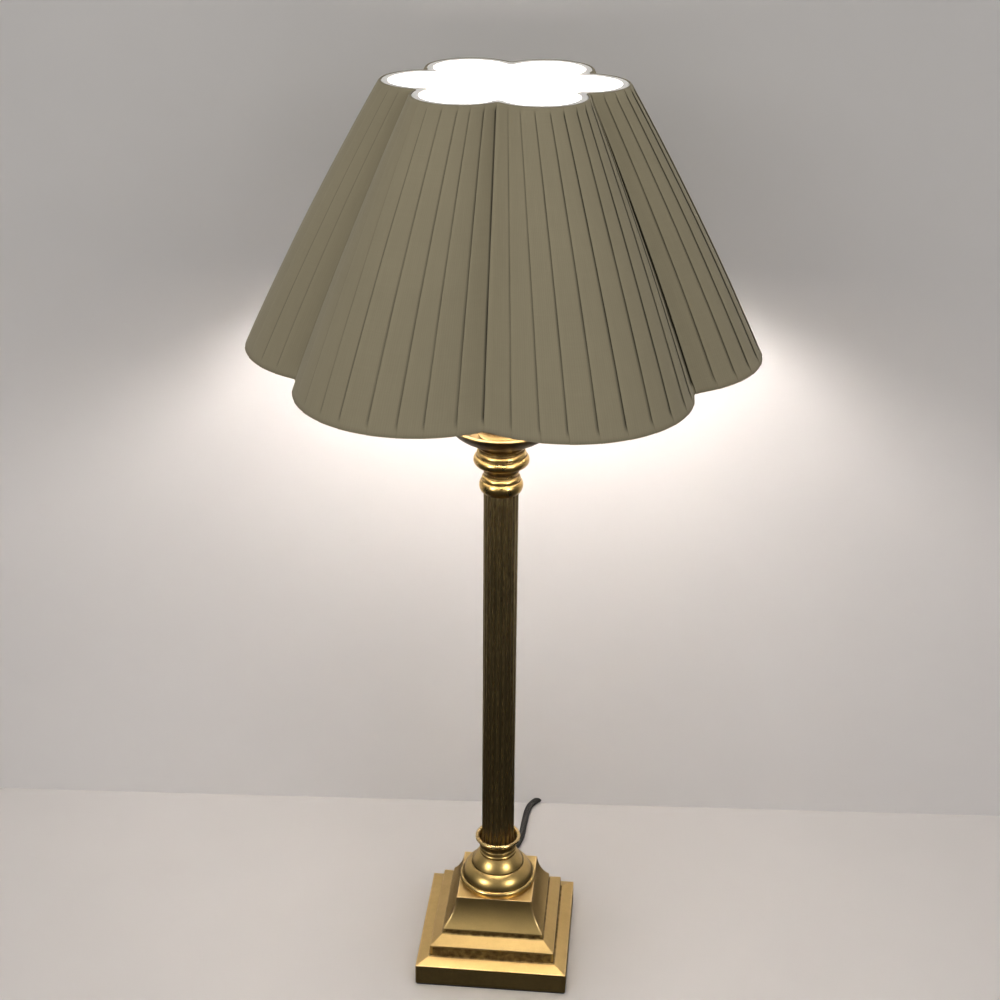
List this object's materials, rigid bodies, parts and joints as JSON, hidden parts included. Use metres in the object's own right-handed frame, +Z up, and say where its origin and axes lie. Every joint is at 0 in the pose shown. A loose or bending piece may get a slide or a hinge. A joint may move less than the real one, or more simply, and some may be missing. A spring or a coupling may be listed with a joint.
{
  "type": "candlestick table lamp",
  "caption": "Candlestick table lamp with a stepped square brass foot, a fluted column, a drip pan and a pleated scalloped shade.",
  "frame": {"origin": "centre of the square foot on the surface that the lamp stands on", "axes": "+Z up the column, -Y towards the front of the foot, cord leaves towards +Y"},
  "size_m": [0.3834, 0.5391, 0.7495],
  "materials": {
    "antique_brass": "antique satin",
    "column_brass": "dark antique satin",
    "holder_brass": "satin",
    "zinc_steel": "zinc plated",
    "iron": "as cast",
    "felt": "felt",
    "black_rubber": "matt",
    "earth_sheath": "satin",
    "black_plastic": "moulded",
    "porcelain": "glazed",
    "bulb_metal": "bright",
    "opal_glass": "opal, lit",
    "white_wire": "white coated",
    "lining_cloth": "plain weave",
    "pleated_cloth": "knife pleated",
    "cord_braid": "braided",
    "tie_strap": "woven strap"
  },
  "bodies": {
    "stand": {"base_casting": "antique_brass", "base_bell": "antique_brass", "foot_collar": "antique_brass", "lower_knop": "antique_brass", "upper_knop": "antique_brass", "drip_pan": "antique_brass", "candle_cup": "antique_brass", "column_tube": "column_brass", "holder_cap": "holder_brass", "lampholder_body": "holder_brass", "socket_thread": "holder_brass", "centre_contact": "holder_brass", "earth_tag": "holder_brass", "plug_pins": "holder_brass", "column_bush_lower": "holder_brass", "column_bush_upper": "holder_brass", "bottom_cover": "zinc_steel", "cover_screws": "zinc_steel", "weight_screws": "zinc_steel", "threaded_rod": "zinc_steel", "clamp_washer": "zinc_steel", "clamp_nut": "zinc_steel", "rod_locknut": "zinc_steel", "base_weight": "iron", "felt_pad": "felt", "cord_grommet": "black_rubber", "plug_strain_relief": "black_rubber", "inner_flex": "black_rubber", "earth_wire": "earth_sheath", "switch_block": "black_plastic", "plug_body": "black_plastic", "socket_insert": "porcelain", "cord": "cord_braid", "cord_coil": "cord_braid", "cord_tie": "tie_strap"},
    "shade": {"shade_gallery": "white_wire", "shade_arms": "white_wire", "shade_top_wire": "white_wire", "shade_bottom_wire": "white_wire", "shade_struts": "white_wire", "shade_lining": "lining_cloth", "shade_fabric": "pleated_cloth"},
    "bulb": {"bulb_cap": "bulb_metal", "bulb_insulator": "black_plastic", "bulb_tip": "bulb_metal", "bulb_glass": "opal_glass"},
    "shade_ring_nut": {"shade_ring": "holder_brass"},
    "switch": {"switch_bar": "black_plastic"}
  },
  "joints": [
    {"name": "shade_turn", "type": "hinge", "parent": "stand", "child": "shade", "pos_m": [0, 0, 0.58], "axis": [0, 0, 1], "continuous": true},
    {"name": "ring_turn", "type": "hinge", "parent": "stand", "child": "shade_ring_nut", "pos_m": [0, 0, 0.583], "axis": [0, 0, 1], "range_deg": [0, 720]},
    {"name": "bulb_turn", "type": "hinge", "parent": "stand", "child": "bulb", "pos_m": [0, 0, 0.58], "axis": [0, 0, 1], "range_deg": [0, 900]},
    {"name": "switch_push", "type": "slide", "parent": "stand", "child": "switch", "axis": [1, 0, 0], "range_m": [0, 0.006]}
  ]
}
